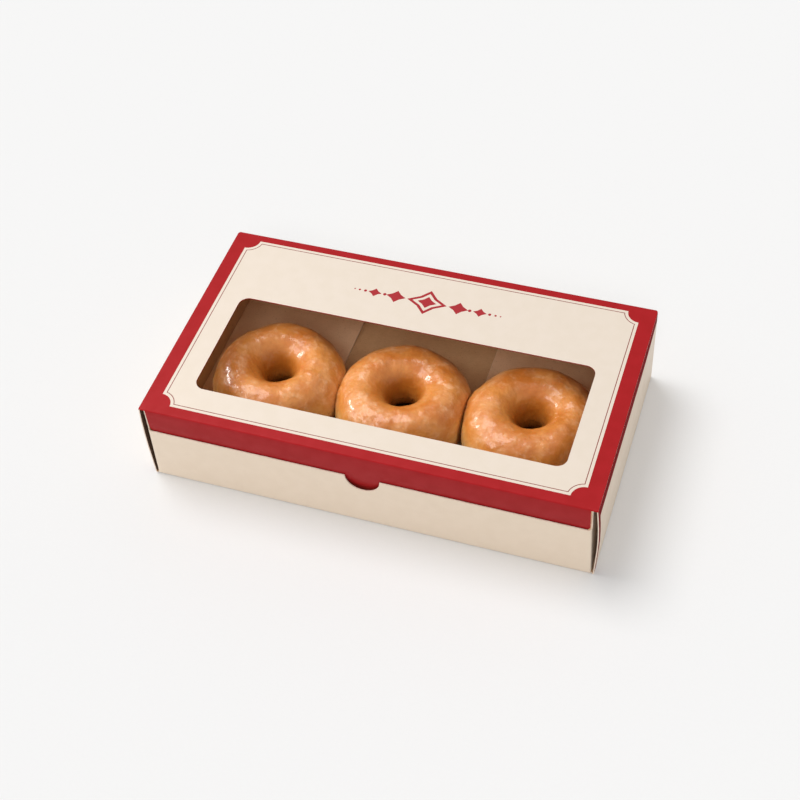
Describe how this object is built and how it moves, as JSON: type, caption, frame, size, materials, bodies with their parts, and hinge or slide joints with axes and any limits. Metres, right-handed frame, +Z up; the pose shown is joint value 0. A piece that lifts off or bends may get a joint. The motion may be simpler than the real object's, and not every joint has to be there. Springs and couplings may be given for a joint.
{
  "type": "box of doughnuts",
  "caption": "Long folded-board bakery carton with a windowed hinged lid that tucks in behind its low front wall, holding a row of glazed ring doughnuts.",
  "frame": {"origin": "middle of the carton's underside, on the surface it stands on", "axes": "+X along the carton to the right as seen from its front, +Y towards the lid's hinge, +Z up"},
  "size_m": [0.283, 0.16, 0.061],
  "materials": {
    "cream_board": "folding boxboard, cream print outside and bare kraft inside",
    "printed_board": "folding boxboard with a satin red border round a cream panel, bare kraft inside",
    "glazed_dough": "fried ring dough under thin clear sugar glaze"
  },
  "bodies": {
    "carton": {"tray": "cream_board", "doughnut_left": "glazed_dough", "doughnut_middle": "glazed_dough", "doughnut_right": "glazed_dough"},
    "lid": {"lid": "printed_board"}
  },
  "joints": [
    {"name": "lid_hinge", "type": "hinge", "parent": "carton", "child": "lid", "pos_m": [0, 0.07965, 0.06065], "axis": [-1, 0, 0], "range_deg": [0, 115]}
  ]
}
